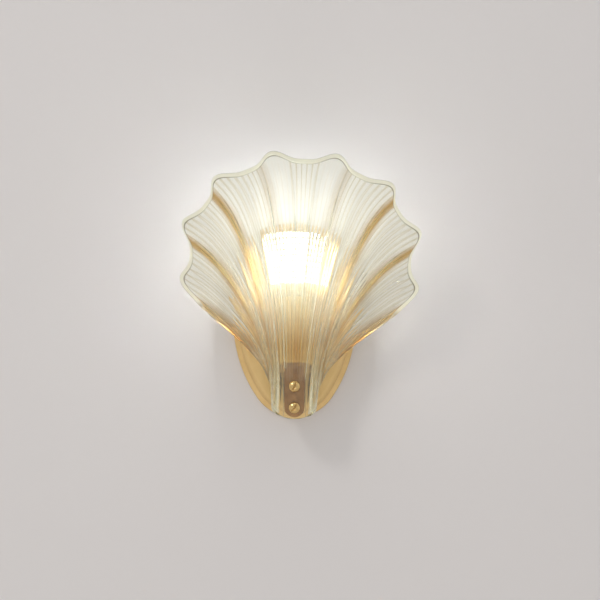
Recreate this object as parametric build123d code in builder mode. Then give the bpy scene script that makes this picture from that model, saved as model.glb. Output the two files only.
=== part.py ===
from build123d import *
import math
import os

# Wall light with a fluted glass shell, in millimetres.
# The wall is the plane Y = 0 and the light stands out from it towards -Y, with +Z up.
# The origin is the middle of the oval backplate, on the wall. Depths are distances from the wall.

# ---- driving dimensions -------------------------------------------------------------

# oval backplate, a pressed dish with a flat foot band round a raised crown
plate_w, plate_h = 130.0, 206.0     # the whole oval
plate_end_r = 48.0                  # radius of the arcs at its top and bottom
plate_wall = 1.5                    # sheet thickness
band_depth = 4.0                    # how far the foot band stands off the wall
band_w = 5.5                        # width of the foot band
band_round = 1.2
plate_depth = 18.0                  # from the wall to the front of the crown
crown_round = 6.0

# steel bar on the wall that carries the plate
bar_h, bar_t = 25.0, 2.0
ear_h, ear_gap = 16.0, 0.3          # turned-up ends, and their gap to the crown's inside
wall_hole_r, wall_hole_pitch = 2.5, 60.0
wall_slot_l, wall_slot_pitch = 7.0, 86.0
side_screw_depth = 8.0

# brass strap: a foot on the plate, a leg that carries the lampholder, a tab for the glass
strap_w, strap_t = 20.0, 3.0
strap_top = -45.7                   # height of the leg's upper face
strap_bend = 2.5                    # inside radius of its two bends
tab_front = 56.0                    # depth of the face that the glass leans on
foot_end = -87.0                    # height of the foot's lower end
foot_screw_z, foot_screw_pitch = -76.0, 10.0
cable_z = -60.0                     # height of the cable hole through plate and foot

# glass shell
glass_t = 5.5
shell_base_z = -101.5               # lowest point of the glass, before it leans
shell_base_w, shell_base_deep = 21.0, 22.0
shell_rim_w, shell_rim_deep = 117.2, 46.0
shell_rim_depth = 119.0             # from the wall to the rim's front, before the lip turns out
shell_rim_top, shell_wing_z = 163.5, 9.0
shell_wrap = 117.5                  # how far each wing turns round from the front, in degrees
lobe_step = 30.0                    # turn from one valley to the next, in degrees
lobe_deep = 4.5                     # height of a lobe over the middle surface, at the rim
lobe_reach = 6.0                    # how much further the rim reaches at a lobe
flank_low, flank_rim = 0.35, 1.0    # softness of the lobes' flanks, low on the shell and at the rim
base_rise = 16.0                    # how much the bottom edge climbs at the sides
base_square, rim_square = 3.5, 2.0  # squareness of the shell's plan, from 2 for a round one
upright, bend_reach = 0.2, 0.08     # share of the height that stands straight up, and its bend
ribs_drawn, rib_points = 90, 9      # ribs drawn across the shell, and points along each
point_crowd, first_climb = 0.8, 0.002  # crowding of those points to the rim, and where they start
flare, wing_flare = 1.9, 0.2        # how late the sides open out, and how much sooner the wings do
lip_share, lip_flare = 0.22, 12.0   # how much of the width opens in the last stretch below the rim
lip_out, lip_curl = 8.0, 34.0       # how far the lip turns out to the room, and how late it does
rim_swell = 0.25                    # share by which the glass thickens at the rim
top_wave = 0.2                      # share of a second wave that sharpens the rim's valleys
# how late on the climb each of these comes in, as a power: the soft flanks, the reach, the swell
soft_late, reach_late, swell_late = 6.0, 8.0, 20.0
wing_late = 4.0                     # the same for the turn at which a rib counts as a wing
shell_lean = 2.5                    # the shell hangs this many degrees off upright, about its screws

# fixings of the glass: soft pad behind it, washers and round-head screws in front of it
pad_t, washer_t = 1.5, 1.0
shell_screw_z, shell_screw_pitch = -78.5, 22.0
m6_r, m6_head_r, m6_head_h, m6_length = 3.0, 6.0, 4.2, 18.0
m6_nut_w, m6_nut_h = 10.0, 5.0
glass_hole_r = 3.8
seat_r, seat_cut = 7.0, 0.2         # ground flats under the washers

# small fixings
m4_r, m4_head_r, m4_head_h, m4_nut_w, m4_nut_h = 2.0, 3.5, 2.4, 7.0, 3.2
m3_r, m3_head_r, m3_head_h = 1.5, 2.3, 1.6
free_gap = 0.2                      # radial gap of a screw in a plain hole
thread_gap = 0.02                   # radial gap left between a thread and its nut

# lampholder for a 27 mm screw lamp, upright on the strap's leg
lamp_depth = 38.0
cup_r, cup_wall, cup_top, cup_round = 18.0, 0.8, 25.0, 5.0
body_gap = 0.2                      # between the insulator and the cup
body_top, body_floor, body_base = 24.0, -7.0, -18.0
skirt_wall = 2.6
sleeve_r, sleeve_wall, sleeve_low, sleeve_high = 13.16, 0.5, -3.0, 21.5
nipple_r, nipple_bore, nipple_low, nipple_high = 5.0, 3.5, -54.0, -38.0
nipple_nut_w, nipple_nut_h = 14.0, 4.0
post_r, post_len, post_x, post_bore = 3.0, 9.0, 7.5, 5.0
tongue_w, tongue_t = 6.0, 0.5

# lamp with eight upright boards of light chips
lamp_fit = 0.06                     # radial gap of the lamp's cap in the thread sleeve
cap_low, cap_high = 1.5, 25.6
cap_taper, eyelet_r, eyelet_h = 3.5, 4.8, 1.5
contact_gap = 0.3                   # between the eyelet and the holder's tongue
collar_low, collar_high, collar_r = 25.6, 37.0, 14.2
collar_foot_r = 13.6
column_flats, column_high = 25.5, 88.0
board_faces, chip_columns, chip_rows = 8, 2, 8
chip_w, chip_h, chip_t, chip_pitch, chip_row_pitch = 2.8, 3.5, 0.7, 4.9, 5.9
lid_r, lid_h = 13.6, 4.0

# wiring inside the plate and up through the nipple
wire_r, wire_gap = 1.1, 0.05
wire_sides = 8                      # flats round each wire
wire_pair_x = 1.3
wire_bend = 8.0
block_l, block_h, block_t = 30.0, 16.0, 12.0
pole_pitch, pole_bore = 10.0, 4.0
bush_r, bush_bore, bush_flange_r, bush_flange_t = 5.0, 3.4, 6.5, 1.0

# ---- sizes that follow --------------------------------------------------------------

crown_w, crown_h = plate_w - 2 * band_w, plate_h - 2 * band_w
plate_inside = plate_depth - plate_wall
ear_x = crown_w / 2 - plate_wall - ear_gap
leg_low = strap_top - strap_t
pad_front = tab_front + pad_t
glass_front = pad_front + glass_t
washer_back = glass_front - seat_cut
screw_seat = washer_back + washer_t
screw_heights = [shell_screw_z + shell_screw_pitch / 2, shell_screw_z - shell_screw_pitch / 2]
foot_heights = [foot_screw_z + foot_screw_pitch / 2, foot_screw_z - foot_screw_pitch / 2]
foot_front = plate_depth + strap_t
body_r = cup_r - cup_wall - body_gap
cup_floor = strap_top + cup_wall
cap_r = sleeve_r - lamp_fit
tongue_top = cap_low - cap_taper - eyelet_h - contact_gap
tag_t = 0.8

os.makedirs("parts", exist_ok=True)
section = Plane.XZ.offset(lamp_depth)               # the upright plane through the lamp
lamp_axis = Axis((0, -lamp_depth, 0), (0, 0, 1))


def at_depth(depth, x=0.0, z=0.0):
    """A plane parallel to the wall, facing the room, with its origin at x and z."""
    return Plane(origin=(x, -depth, z), x_dir=(1, 0, 0), z_dir=(0, -1, 0))


def finish(piece, name):
    """Label a finished piece and write it to its own file."""
    piece.part.label = name
    export_step(piece.part, f"parts/{name}.step")


def screw(seat, radius, length, head_r, head_h, slot_turn=0.0):
    """A slotted round-head screw whose head stands on the plane seat and whose shank runs behind it."""
    with BuildPart() as made:
        with BuildSketch(seat):
            Circle(head_r)
        extrude(amount=head_h)
        chamfer(made.edges().sort_by(Axis(seat.origin, seat.z_dir))[-1], 0.45 * head_h)
        with BuildSketch(seat.offset(head_h)):
            Rectangle(2.2 * head_r, 0.2 * head_r, rotation=slot_turn)
        extrude(amount=-0.45 * head_h, mode=Mode.SUBTRACT)
        with BuildSketch(seat):
            Circle(radius)
        extrude(amount=-length)
    return made.part


def nut(seat, width, height, radius):
    """A hexagon nut standing on the plane seat, which faces away from what it clamps."""
    with BuildPart() as made:
        with BuildSketch(seat):
            RegularPolygon(width / 2, 6, major_radius=False)
            Circle(radius + thread_gap, mode=Mode.SUBTRACT)
        extrude(amount=height)
    return made.part


def turned(points):
    """A piece turned about the lamp's axis from corners given as radius and height."""
    with BuildPart() as made:
        with BuildSketch(section):
            with BuildLine():
                Polyline(*points, close=True)
            make_face()
        revolve(axis=lamp_axis)
    return made.part


# ---- backplate ----------------------------------------------------------------------

def oval(inset):
    """An oval of four tangent arcs, drawn in all round from the plate's outline."""
    end_rise, half_w = plate_h / 2 - plate_end_r, plate_w / 2
    side_r = (half_w**2 + end_rise**2 - plate_end_r**2) / (2 * (half_w - plate_end_r))
    turn = math.degrees(math.atan2(end_rise, side_r - half_w))
    with BuildLine() as outline:
        side_arc = CenterArc((half_w - side_r, 0), side_r - inset, -turn, 2 * turn)
        end_arc = CenterArc((0, end_rise), plate_end_r - inset, turn, 180 - 2 * turn)
        mirror(side_arc, about=Plane.YZ)
        mirror(end_arc, about=Plane.XZ)
    return outline.line


def oval_form(inset):
    """The dish's outer form, or its hollow when it is drawn in by the sheet's thickness."""
    with BuildPart() as form:
        with BuildSketch(Plane.XZ):
            add(oval(inset))
            make_face()
        extrude(amount=band_depth - inset)
        if inset == 0:
            fillet(form.faces().sort_by(Axis.Y)[0].edges(), band_round)
        with BuildSketch(Plane.XZ):
            add(oval(band_w + inset))
            make_face()
        extrude(amount=plate_depth - inset)
        fillet(form.faces().sort_by(Axis.Y)[0].edges(), crown_round - inset)
    return form.part


with BuildPart() as backplate:
    add(oval_form(0.0))
    add(oval_form(plate_wall), mode=Mode.SUBTRACT)
    with BuildSketch(at_depth(plate_depth)):
        with Locations(*[(0, z) for z in foot_heights]):
            Circle(m4_r + free_gap)
        with Locations((0, cable_z)):
            Circle(bush_r)
    extrude(amount=-2 * plate_wall, mode=Mode.SUBTRACT)
    with BuildSketch(Plane.YZ):
        with Locations((-side_screw_depth, 0)):
            Circle(m4_r + free_gap)
    extrude(amount=plate_w / 2, both=True, mode=Mode.SUBTRACT)
finish(backplate, "backplate")

# ---- wall bar and the screws that hold the plate on it --------------------------------

with BuildPart() as wall_bar:
    with BuildSketch(Plane.XZ):
        Rectangle(2 * ear_x, bar_h)
        with GridLocations(wall_hole_pitch, 0, 2, 1):
            Circle(wall_hole_r, mode=Mode.SUBTRACT)
        with GridLocations(wall_slot_pitch, 0, 2, 1):
            SlotCenterToCenter(wall_slot_l, 2 * wall_hole_r, mode=Mode.SUBTRACT)
    extrude(amount=bar_t)
    with BuildSketch(Plane.XZ):
        with GridLocations(2 * ear_x - bar_t, 0, 2, 1):
            Rectangle(bar_t, ear_h)
    extrude(amount=side_screw_depth + m4_head_r)
    fillet(wall_bar.edges().filter_by(Axis.X).group_by(Axis.Y)[0], 2.5)
    with BuildSketch(Plane.YZ):
        with Locations((-side_screw_depth, 0)):
            Circle(m4_r + thread_gap)
    extrude(amount=plate_w / 2, both=True, mode=Mode.SUBTRACT)
    with BuildSketch(Plane.XZ):
        with Locations((pole_pitch / 2, 0)):
            Circle(m3_r + thread_gap)
    extrude(amount=bar_t, mode=Mode.SUBTRACT)
finish(wall_bar, "wall_bar")

with BuildPart() as plate_screws:
    for side in (-1, 1):
        seat = Plane(origin=(side * crown_w / 2, -side_screw_depth, 0), x_dir=(0, 1, 0), z_dir=(side, 0, 0))
        add(screw(seat, m4_r, 8.0, m4_head_r, m4_head_h, slot_turn=20 * side))
finish(plate_screws, "plate_screws")

# ---- strap --------------------------------------------------------------------------

with BuildPart() as strap:
    with BuildSketch(Plane.YZ):
        with BuildLine():
            FilletPolyline(
                (-plate_depth - strap_t / 2, foot_end),
                (-plate_depth - strap_t / 2, strap_top - strap_t / 2),
                (-tab_front + strap_t / 2, strap_top - strap_t / 2),
                (-tab_front + strap_t / 2, screw_heights[1]),
                radius=strap_bend + strap_t / 2,
            )
        trace(line_width=strap_t)
    extrude(amount=strap_w / 2, both=True)
    fillet(strap.edges().filter_by(Axis.Y).filter_by_position(Axis.Z, foot_end - 0.1, foot_end + 0.1), 3.0)
    with BuildSketch(at_depth(tab_front, z=screw_heights[1])):
        Circle(strap_w / 2)
    extrude(amount=-strap_t)
    with BuildSketch(at_depth(tab_front)):
        with Locations(*[(0, z) for z in screw_heights]):
            Circle(m6_r + free_gap)
    extrude(amount=-strap_t, mode=Mode.SUBTRACT)
    with BuildSketch(at_depth(foot_front)):
        with Locations(*[(0, z) for z in foot_heights]):
            Circle(m4_r + free_gap)
        with Locations((0, cable_z)):
            Circle(bush_r)
    extrude(amount=-strap_t, mode=Mode.SUBTRACT)
    with BuildSketch(Plane.XY.offset(strap_top)):
        with Locations((0, -lamp_depth)):
            Circle(nipple_r + free_gap)
    extrude(amount=-strap_t, mode=Mode.SUBTRACT)
finish(strap, "strap")

with BuildPart() as strap_screws:
    for z in foot_heights:
        add(screw(at_depth(foot_front, z=z), m4_r, 10.0, m4_head_r, m4_head_h, slot_turn=65))
finish(strap_screws, "strap_screws")

with BuildPart() as strap_nuts:
    for z, depth in zip(foot_heights, (plate_inside - tag_t, plate_inside)):
        add(nut(Plane(origin=(0, -depth, z), x_dir=(1, 0, 0), z_dir=(0, 1, 0)), m4_nut_w, m4_nut_h, m4_r))
finish(strap_nuts, "strap_nuts")

# ---- glass shell --------------------------------------------------------------------
# Each rib of the shell is a curve that climbs from the narrow base to the rim. A point on it
# is found from turn, the angle round from the front, and climb, from 0 at the base to 1.

def lobe_wave(turn):
    """The scallops of the rim: lowest in a valley between two lobes, highest on a lobe."""
    angle = math.radians(360 * turn / lobe_step)
    return -math.cos(angle) + top_wave * math.cos(2 * angle)


def flute(turn, climb):
    """The lobes' relief: -1 in a valley, 1 on a lobe, and flanks that soften towards the rim."""
    angle = math.radians(360 * turn / lobe_step)
    softness = flank_low + (flank_rim - flank_low) * climb**soft_late
    return -math.cos(angle) / math.hypot(math.cos(angle), softness * math.sin(angle))


def ramp(climb):
    """Level at the base and a straight slope above it, with a smooth bend between the two."""
    return (climb - upright + math.hypot(climb - upright, bend_reach)) / 2


def mean_point(turn, climb, lip_turned=lip_out):
    """A point of the shell's middle surface without its flutes."""
    sine, cosine = math.sin(math.radians(turn)), math.cos(math.radians(turn))
    winged = abs(turn / shell_wrap) ** wing_late
    lip = lip_share * (1 - winged)
    spread = (1 - lip) * climb ** (flare - wing_flare * winged) + lip * climb**lip_flare
    forward = (ramp(climb) - ramp(0.0)) / (ramp(1.0) - ramp(0.0))
    power = base_square + (rim_square - base_square) * climb
    square = (abs(sine) ** power + abs(cosine) ** power) ** (-1 / power)
    half_w = shell_base_w + (shell_rim_w - shell_base_w) * spread
    half_d = shell_base_deep + (shell_rim_deep - shell_base_deep) * spread
    front = pad_front + glass_t / 2
    depth = front + (shell_rim_depth - front) * forward - half_d * (1 - cosine * square)
    depth += lip_turned * climb**lip_curl
    low = shell_base_z + base_rise * (1 - cosine)
    high = shell_wing_z + (shell_rim_top - shell_wing_z) * math.cos(math.radians(90 * turn / shell_wrap))
    return Vector(half_w * sine * square, -depth, low + (high - low) * climb)


def directions(turn, climb, lip_turned):
    """The way out of the middle surface at a point, and the way up it."""
    nudge = 1e-3
    beside, before = mean_point(turn + nudge, climb, lip_turned), mean_point(turn - nudge, climb, lip_turned)
    over, under = mean_point(turn, climb + nudge, lip_turned), mean_point(turn, climb - nudge, lip_turned)
    return (beside - before).cross(over - under).normalized(), (over - under).normalized()


def glass_point(turn, climb, side):
    """A point of the fluted glass on its front (side 1) or its back (side -1)."""
    outward, upward = directions(turn, climb, 0.0)
    skin_normal, _ = directions(turn, climb, lip_out)
    return (
        mean_point(turn, climb)
        + outward * (lobe_deep * climb * flute(turn, climb))
        + upward * (lobe_reach * climb**reach_late * lobe_wave(turn))
        + skin_normal * (side * glass_t / 2 * (1 + rim_swell * climb**swell_late))
    )


def rib(turn):
    """The glass cut through along one rib: its front and back curves, its rim and its base."""
    climbs = [max((i / (rib_points - 1)) ** point_crowd, first_climb) for i in range(rib_points)]
    front = [glass_point(turn, climb, 1) for climb in climbs]
    back = [glass_point(turn, climb, -1) for climb in climbs]
    return [
        Edge.make_spline(front),
        Edge.make_line(front[-1], back[-1]),
        Edge.make_spline(back),
        Edge.make_line(back[0], front[0]),
    ]


ribs = [rib(shell_wrap * (2 * i / ribs_drawn - 1)) for i in range(ribs_drawn + 1)]
skin = [
    Face.make_surface_from_curves(this, following)
    for near_rib, next_rib in zip(ribs, ribs[1:])
    for this, following in zip(near_rib, next_rib)
]
skin += [Face.make_surface_from_curves(end_rib[0], end_rib[2]) for end_rib in (ribs[0], ribs[-1])]
lean_axis = Axis((0, 0, shell_screw_z), (0, 1, 0))

with BuildPart() as glass_shell:
    add(Solid(Shell(skin)).rotate(lean_axis, shell_lean))
    with BuildSketch(at_depth(pad_front)):
        with Locations((0, shell_screw_z)):
            Rectangle(strap_w + 2, 3 * shell_screw_pitch)
    extrude(amount=-glass_t, mode=Mode.SUBTRACT)
    with BuildSketch(at_depth(washer_back)):
        with Locations(*[(0, z) for z in screw_heights]):
            Circle(seat_r)
    extrude(amount=glass_t, mode=Mode.SUBTRACT)
    with BuildSketch(at_depth(pad_front)):
        with Locations(*[(0, z) for z in screw_heights]):
            Circle(glass_hole_r)
    extrude(amount=glass_t, both=True, mode=Mode.SUBTRACT)
finish(glass_shell, "glass_shell")

with BuildPart() as shell_pad:
    with BuildSketch(at_depth(tab_front)):
        with Locations((0, shell_screw_z)):
            SlotCenterToCenter(shell_screw_pitch, strap_w, rotation=90)
        with Locations(*[(0, z) for z in screw_heights]):
            Circle(m6_r + free_gap, mode=Mode.SUBTRACT)
    extrude(amount=pad_t)
finish(shell_pad, "shell_pad")

with BuildPart() as shell_washers:
    with BuildSketch(at_depth(washer_back)):
        with Locations(*[(0, z) for z in screw_heights]):
            Circle(m6_head_r + 0.3)
            Circle(m6_r + free_gap, mode=Mode.SUBTRACT)
    extrude(amount=washer_t)
finish(shell_washers, "shell_washers")

with BuildPart() as shell_screws:
    for z, slot_turn in zip(screw_heights, (62, 55)):
        add(screw(at_depth(screw_seat, z=z), m6_r, m6_length, m6_head_r, m6_head_h, slot_turn))
finish(shell_screws, "shell_screws")

with BuildPart() as shell_nuts:
    for z in screw_heights:
        back = Plane(origin=(0, -(tab_front - strap_t), z), x_dir=(1, 0, 0), z_dir=(0, 1, 0))
        add(nut(back, m6_nut_w, m6_nut_h, m6_r))
finish(shell_nuts, "shell_nuts")

# ---- lampholder ---------------------------------------------------------------------

with BuildPart() as holder_cup:
    with BuildSketch(section):
        with BuildLine():
            outer = FilletPolyline(
                (nipple_r + free_gap, strap_top), (cup_r, strap_top), (cup_r, cup_top), radius=cup_round
            )
            inner = FilletPolyline(
                (nipple_r + free_gap, cup_floor), (cup_r - cup_wall, cup_floor), (cup_r - cup_wall, cup_top),
                radius=cup_round - cup_wall,
            )
            Line(outer @ 0, inner @ 0)
            Line(outer @ 1, inner @ 1)
        make_face()
    revolve(axis=lamp_axis)
finish(holder_cup, "holder_cup")

with BuildPart() as holder_body:
    add(turned([
        (0, body_floor), (sleeve_r + sleeve_wall, body_floor), (sleeve_r + sleeve_wall, sleeve_high),
        (sleeve_r + 0.6, body_top), (body_r, body_top),
        (body_r, cup_floor + cup_round), (body_r - cup_round, cup_floor),
        (body_r - cup_round - 1, cup_floor), (body_r - skirt_wall, cup_floor + cup_round),
        (body_r - skirt_wall, body_base), (0, body_base),
    ]))
finish(holder_body, "holder_body")

with BuildPart() as holder_sleeve:
    with BuildSketch(Plane.XY.offset(body_floor)):
        with Locations((0, -lamp_depth)):
            Circle(sleeve_r + sleeve_wall)
            Circle(sleeve_r, mode=Mode.SUBTRACT)
    extrude(amount=sleeve_high - body_floor)
finish(holder_sleeve, "holder_sleeve")

with BuildPart() as holder_tongue:
    with BuildSketch(section):
        with BuildLine():
            FilletPolyline(
                (-9, body_floor + tongue_t / 2), (-5, body_floor + tongue_t / 2),
                (-3, tongue_top - tongue_t / 2), (4, tongue_top - tongue_t / 2), radius=0.8,
            )
        trace(line_width=tongue_t)
    extrude(amount=tongue_w / 2, both=True)
finish(holder_tongue, "holder_tongue")

with BuildPart() as holder_posts:
    with BuildSketch(Plane.XY.offset(body_base)):
        with Locations((post_x, -lamp_depth), (-post_x, -lamp_depth)):
            Circle(post_r)
    extrude(amount=-post_len)
    with BuildSketch(Plane.XY.offset(body_base - post_len)):
        with Locations((post_x, -lamp_depth), (-post_x, -lamp_depth)):
            Circle(wire_r + wire_gap)
    extrude(amount=post_bore, mode=Mode.SUBTRACT)
finish(holder_posts, "holder_posts")

with BuildPart() as nipple:
    with BuildSketch(Plane.XY.offset(nipple_low)):
        with Locations((0, -lamp_depth)):
            Circle(nipple_r)
            Circle(nipple_bore, mode=Mode.SUBTRACT)
    extrude(amount=nipple_high - nipple_low)
finish(nipple, "nipple")

with BuildPart() as nipple_nuts:
    add(nut(Plane(origin=(0, -lamp_depth, leg_low), z_dir=(0, 0, -1)), nipple_nut_w, nipple_nut_h, nipple_r))
    add(nut(Plane(origin=(0, -lamp_depth, cup_floor)), nipple_nut_w, nipple_nut_h, nipple_r))
finish(nipple_nuts, "nipple_nuts")

# ---- lamp ---------------------------------------------------------------------------

with BuildPart() as lamp_cap:
    add(turned([
        (cap_r - 0.4, cap_low), (cap_r, cap_low), (cap_r, cap_high), (cap_r - 0.4, cap_high),
    ]))
finish(lamp_cap, "lamp_cap")

with BuildPart() as lamp_glaze:
    add(turned([
        (0, cap_low - cap_taper), (eyelet_r, cap_low - cap_taper), (cap_r - 1.6, cap_low),
        (cap_r - 0.4, cap_low), (cap_r - 0.4, cap_low + 2), (0, cap_low + 2),
    ]))
finish(lamp_glaze, "lamp_glaze")

with BuildPart() as lamp_eyelet:
    with BuildSketch(Plane.XY.offset(cap_low - cap_taper)):
        with Locations((0, -lamp_depth)):
            Circle(eyelet_r)
    extrude(amount=-eyelet_h)
    chamfer(lamp_eyelet.faces().sort_by(Axis.Z)[0].edges(), 0.6 * eyelet_h)
finish(lamp_eyelet, "lamp_eyelet")

with BuildPart() as lamp_collar:
    add(turned([
        (cap_r - 3, collar_low - 3), (cap_r - 0.4, collar_low - 3), (cap_r - 0.4, collar_low),
        (collar_foot_r, collar_low), (collar_r, collar_low + 4),
        (collar_r, collar_high), (cap_r - 3, collar_high),
    ]))
finish(lamp_collar, "lamp_collar")

with BuildPart() as lamp_column:
    with BuildSketch(Plane.XY.offset(collar_high)):
        with Locations((0, -lamp_depth)):
            RegularPolygon(column_flats / 2, board_faces, major_radius=False, rotation=180 / board_faces)
            Circle(column_flats / 2 - 1.5, mode=Mode.SUBTRACT)
    extrude(amount=column_high - collar_high)
finish(lamp_column, "lamp_column")

with BuildPart() as lamp_chips:
    for face in range(board_faces):
        normal = Vector(0, -1, 0).rotate(Axis.Z, 360 * face / board_faces)
        centre = Vector(0, -lamp_depth, (collar_high + column_high) / 2) + normal * (column_flats / 2)
        board = Plane(origin=centre, x_dir=normal.cross(Vector(0, 0, -1)), z_dir=normal)
        with BuildSketch(board):
            with GridLocations(chip_pitch, chip_row_pitch, chip_columns, chip_rows):
                Rectangle(chip_w, chip_h)
        extrude(amount=chip_t)
finish(lamp_chips, "lamp_chips")

with BuildPart() as lamp_lid:
    with BuildSketch(Plane.XY.offset(column_high)):
        with Locations((0, -lamp_depth)):
            Circle(lid_r)
    extrude(amount=lid_h)
    chamfer(lamp_lid.faces().sort_by(Axis.Z)[-1].edges(), 0.5 * lid_h)
finish(lamp_lid, "lamp_lid")

# ---- wiring -------------------------------------------------------------------------

with BuildPart() as cable_bush:
    with BuildSketch(at_depth(plate_inside - bush_flange_t)):
        with Locations((0, cable_z)):
            Circle(bush_flange_r)
    extrude(amount=bush_flange_t)
    with BuildSketch(at_depth(foot_front)):
        with Locations((0, cable_z)):
            Circle(bush_flange_r)
    extrude(amount=bush_flange_t)
    with BuildSketch(at_depth(plate_inside)):
        with Locations((0, cable_z)):
            Circle(bush_r)
    extrude(amount=foot_front - plate_inside)
    with BuildSketch(at_depth(plate_inside - bush_flange_t)):
        with Locations((0, cable_z)):
            Circle(bush_bore)
    extrude(amount=foot_front + 2 * bush_flange_t - plate_inside, mode=Mode.SUBTRACT)
finish(cable_bush, "cable_bush")

block_front = bar_t + block_t
block_mid = bar_t + block_t / 2
poles = (-pole_pitch, 0.0, pole_pitch)

with BuildPart() as terminal_block:
    with BuildSketch(at_depth(bar_t)):
        RectangleRounded(block_l, block_h, 1.5)
    extrude(amount=block_t)
    for x in poles:
        with BuildSketch(Plane.XY.offset(-block_h / 2)):
            with Locations((x, -block_mid)):
                Circle(wire_r + wire_gap)
        extrude(amount=pole_bore, mode=Mode.SUBTRACT)
        with BuildSketch(Plane.XY.offset(block_h / 2)):
            with Locations((x, -block_mid)):
                Circle(wire_r + wire_gap)
        extrude(amount=-pole_bore, mode=Mode.SUBTRACT)
    with BuildSketch(at_depth(bar_t)):
        with Locations((pole_pitch / 2, 0)):
            Circle(m3_r + free_gap)
    extrude(amount=block_t, mode=Mode.SUBTRACT)
finish(terminal_block, "terminal_block")

with BuildPart() as block_screws:
    for x in poles:
        for z in (-block_h / 4, block_h / 4):
            with BuildSketch(at_depth(block_front, x=x, z=z)):
                Circle(m3_r)
            extrude(amount=0.8)
            with BuildSketch(at_depth(block_front + 0.8, x=x, z=z)):
                Rectangle(3 * m3_r, 0.5, rotation=15 * x)
            extrude(amount=-0.4, mode=Mode.SUBTRACT)
finish(block_screws, "block_screws")

with BuildPart() as block_fixing:
    add(screw(at_depth(block_front, x=pole_pitch / 2), m3_r, block_t + bar_t, m3_head_r, m3_head_h, 30))
finish(block_fixing, "block_fixing")


def wire(points, radius=wire_bend):
    """A round insulated wire along straight runs joined by arcs."""
    with BuildPart() as made:
        with BuildLine() as route:
            FilletPolyline(*points, radius=radius)
        with BuildSketch(Plane(origin=route.line @ 0, z_dir=route.line % 0)):
            RegularPolygon(wire_r, wire_sides)
        sweep()
    return made.part


def lamp_wire(side):
    """One of the pair from the terminal block through the bush and the nipple to a post of the holder."""
    near, far = side * wire_pair_x, side * post_x
    return wire([
        (side * pole_pitch, -block_mid, -block_h / 2 + pole_bore),
        (side * pole_pitch, -block_mid, -30.0),
        (near, -block_mid, cable_z + 14.0),
        (near, -block_mid, cable_z),
        (near, -lamp_depth, cable_z),
        (near, -lamp_depth, nipple_high + 0.5),
        (far, -lamp_depth, body_base - post_len - 3.0),
        (far, -lamp_depth, body_base - post_len + post_bore),
    ], radius=[wire_bend, wire_bend, 6.0, wire_bend, 4.0, 4.0])


with BuildPart() as wire_live:
    add(lamp_wire(-1))
finish(wire_live, "wire_live")

with BuildPart() as wire_neutral:
    add(lamp_wire(1))
finish(wire_neutral, "wire_neutral")

barrel_r, barrel_len, tag_x = 1.7, 6.0, 12.0
tag_z = foot_heights[0]
barrel_depth = plate_inside - tag_t - barrel_r

with BuildPart() as earth_tag:
    with BuildSketch(at_depth(plate_inside - tag_t)):
        with Locations((0, tag_z)):
            Circle(4.2)
        with Locations((tag_x / 2, tag_z)):
            Rectangle(tag_x + 2 * barrel_r, 3.4)
        with Locations((0, tag_z)):
            Circle(m4_r + free_gap, mode=Mode.SUBTRACT)
    extrude(amount=tag_t)
    with BuildSketch(Plane.XY.offset(tag_z - barrel_r)):
        with Locations((tag_x, -barrel_depth)):
            Circle(barrel_r)
            Circle(wire_r + wire_gap, mode=Mode.SUBTRACT)
    extrude(amount=barrel_len)
finish(earth_tag, "earth_tag")

with BuildPart() as wire_earth:
    add(wire([
        (0, -block_mid, -block_h / 2 + pole_bore),
        (0, -block_mid, -22.0),
        (tag_x, -barrel_depth, -46.0),
        (tag_x, -barrel_depth, tag_z - barrel_r + 1.0),
    ]))
finish(wire_earth, "wire_earth")
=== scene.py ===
# %% [markdown]
# # A wall light with a fluted glass shell
#
# The light is a sheet of pressed, champagne-tinted glass that opens like a scallop shell. It
# stands on a brass strap in front of an oval brass backplate, and a lamp is lit inside it.
# The sizes come from a CAD model, which is loaded first. Each piece is then either given a
# finish as it is, or stood in for by a finer piece that takes up the same space.

# %% Load the CAD model
import math

import bmesh
import bpy
from mathutils import Matrix, Vector


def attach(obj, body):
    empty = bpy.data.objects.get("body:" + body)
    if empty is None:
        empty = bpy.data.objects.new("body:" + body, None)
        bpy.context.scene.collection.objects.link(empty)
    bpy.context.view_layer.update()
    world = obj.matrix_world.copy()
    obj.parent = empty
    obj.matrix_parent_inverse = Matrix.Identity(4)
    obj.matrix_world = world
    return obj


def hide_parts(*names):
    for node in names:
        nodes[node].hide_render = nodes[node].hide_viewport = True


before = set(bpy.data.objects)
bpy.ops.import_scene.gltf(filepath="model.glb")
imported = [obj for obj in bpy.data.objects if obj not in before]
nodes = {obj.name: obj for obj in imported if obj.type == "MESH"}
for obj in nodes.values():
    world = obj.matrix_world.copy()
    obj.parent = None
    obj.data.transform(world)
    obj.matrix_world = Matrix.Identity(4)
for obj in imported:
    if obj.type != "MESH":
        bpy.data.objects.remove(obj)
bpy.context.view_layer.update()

mm = 0.001
for imported in list(bpy.data.materials):   # the finishes below need their names
    bpy.data.materials.remove(imported)

# %% [markdown]
# ## The camera
#
# The photograph was taken from about two metres away with a long lens, a little right of the
# lamp and a little above it. A long lens keeps the flare of the shell from looking swollen.
# It comes first, because every later choice is judged through it.

# %% Camera
camera_place = (0.0058, -2.0, 0.0212)
sensor_width, lens = 36.0, 113.1    # in millimetres
nearest, farthest = 0.05, 50.0

camera = bpy.data.objects.new("camera", bpy.data.cameras.new("camera"))
camera.data.sensor_width, camera.data.lens = sensor_width, lens
camera.location = camera_place
camera.rotation_euler = (math.radians(90), 0, 0)
camera.data.clip_start, camera.data.clip_end = nearest, farthest
bpy.context.scene.collection.objects.link(camera)
bpy.context.scene.camera = camera
print("camera:", lens, "mm lens at", camera_place)

# %% [markdown]
# ## Materials as arithmetic
#
# A finish is a small network of nodes. Written with plain + and *, a mask or a mottled tone
# reads like the sum it is, so one class wraps a node's output and adds a Math node for each
# sign. A second class holds a material, and has one method that makes any other node.

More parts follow.
